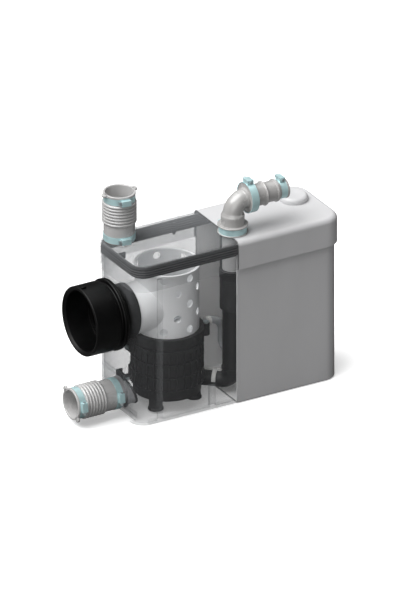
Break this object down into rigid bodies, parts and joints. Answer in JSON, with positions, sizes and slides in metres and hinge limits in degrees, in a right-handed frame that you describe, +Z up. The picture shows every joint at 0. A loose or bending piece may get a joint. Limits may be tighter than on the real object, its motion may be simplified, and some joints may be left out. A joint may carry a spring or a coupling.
{
  "type": "macerator toilet pump",
  "caption": "Box-shaped macerator tank shown half see-through: soft WC connector, perforated basket, cutter pump, ribbed hose inlets, lift-off cover and swivelling outlet elbow",
  "frame": {"origin": "centre of the tank's flat underside, on the ground", "axes": "+X along the tank from the WC inlet end to the outlet end, -Y towards the long front face, +Z up"},
  "size_m": [0.522, 0.156, 0.411],
  "materials": {
    "clear_plastic": "clear polished moulding",
    "tank_plastic": "fine satin moulding",
    "cover_plastic": "fine satin moulding",
    "seal_rubber": "matt moulded rubber",
    "connector_rubber": "satin black rubber",
    "sleeve_rubber": "satin grey rubber",
    "basket_plastic": "satin moulding",
    "spigot_plastic": "satin moulding",
    "black_plastic": "glass filled moulding",
    "white_plastic": "gloss moulding",
    "clamp_steel": "blue zinc plated strip",
    "screw_steel": "zinc plated",
    "shaft_steel": "ground stainless steel",
    "core_steel": "stacked laminations",
    "winding_copper": "enamelled wire",
    "impeller_plastic": "glass filled moulding",
    "hose_rubber": "smooth hose",
    "pipe_plastic": "satin pipe",
    "filter_foam": "open carbon foam",
    "box_plastic": "satin moulding",
    "board_green": "lacquered board"
  },
  "bodies": {
    "tank": {"tank_clear_section": "clear_plastic", "tank_grey_section": "tank_plastic", "rim_gasket": "seal_rubber", "wc_connector": "connector_rubber", "macerator_basket": "basket_plastic", "low_inlet_spigot": "spigot_plastic", "low_inlet_sleeve": "sleeve_rubber", "low_inlet_clamps": "clamp_steel", "low_inlet_clamp_screws": "screw_steel", "flap_bracket": "black_plastic", "flap_pin": "screw_steel", "pump_feet": "seal_rubber", "volute_housing": "black_plastic", "suction_plate": "black_plastic", "motor_housing": "black_plastic", "motor_top_cover": "black_plastic", "top_cover_screws": "screw_steel", "stator_core": "core_steel", "stator_windings": "winding_copper", "shaft_bearings": "shaft_steel", "shaft_seals": "seal_rubber", "discharge_pipe": "black_plastic", "riser_pipe": "black_plastic", "coupling_sleeve": "seal_rubber", "coupling_clamp": "black_plastic", "coupling_clamp_screw": "screw_steel", "upper_pipe": "pipe_plastic", "pipe_bracket": "white_plastic", "bleed_fitting": "white_plastic", "bleed_hose": "hose_rubber", "control_box": "box_plastic", "control_lid": "box_plastic", "circuit_board": "board_green", "start_capacitor": "white_plastic", "pressure_switch": "white_plastic", "air_bell": "pipe_plastic", "cable_gland": "black_plastic", "gland_nut": "black_plastic"},
    "rotor": {"rotor_shaft": "shaft_steel", "rotor_core": "core_steel", "impeller": "impeller_plastic", "cutter_blade": "shaft_steel", "cutter_nut": "shaft_steel"},
    "inlet_flap": {"inlet_flap": "seal_rubber"},
    "cover": {"cover_clear_section": "clear_plastic", "cover_grey_section": "cover_plastic", "top_inlet_sleeve": "sleeve_rubber", "top_inlet_clamps": "clamp_steel", "top_inlet_clamp_screws": "screw_steel", "vent_filter": "filter_foam"},
    "elbow": {"discharge_elbow": "sleeve_rubber", "valve_seat": "white_plastic", "valve_pin": "screw_steel", "discharge_sleeve": "sleeve_rubber", "discharge_clamps": "clamp_steel", "discharge_clamp_screws": "screw_steel"},
    "check_flap": {"check_flap": "seal_rubber"},
    "vent_cap": {"vent_cap": "cover_plastic"}
  },
  "joints": [
    {"name": "rotor_spin", "type": "hinge", "parent": "tank", "child": "rotor", "pos_m": [-0.103, 0, 0.1], "axis": [0, 0, 1], "continuous": true},
    {"name": "inlet_flap_swing", "type": "hinge", "parent": "tank", "child": "inlet_flap", "pos_m": [-0.19071, 0, 0.07], "axis": [0, -1, 0], "range_deg": [0, 10]},
    {"name": "cover_lift", "type": "slide", "parent": "tank", "child": "cover", "axis": [0, 0, 1], "range_m": [0, 0.06]},
    {"name": "elbow_swivel", "type": "hinge", "parent": "cover", "child": "elbow", "pos_m": [0.009, -0.036, 0.33], "axis": [0, 0, 1], "continuous": true},
    {"name": "check_flap_swing", "type": "hinge", "parent": "elbow", "child": "check_flap", "pos_m": [0.0454, -0.036, 0.389], "axis": [0, -1, 0], "range_deg": [0, 55]},
    {"name": "vent_cap_lift", "type": "slide", "parent": "cover", "child": "vent_cap", "axis": [0, 0, 1], "range_m": [0, 0.03]}
  ]
}
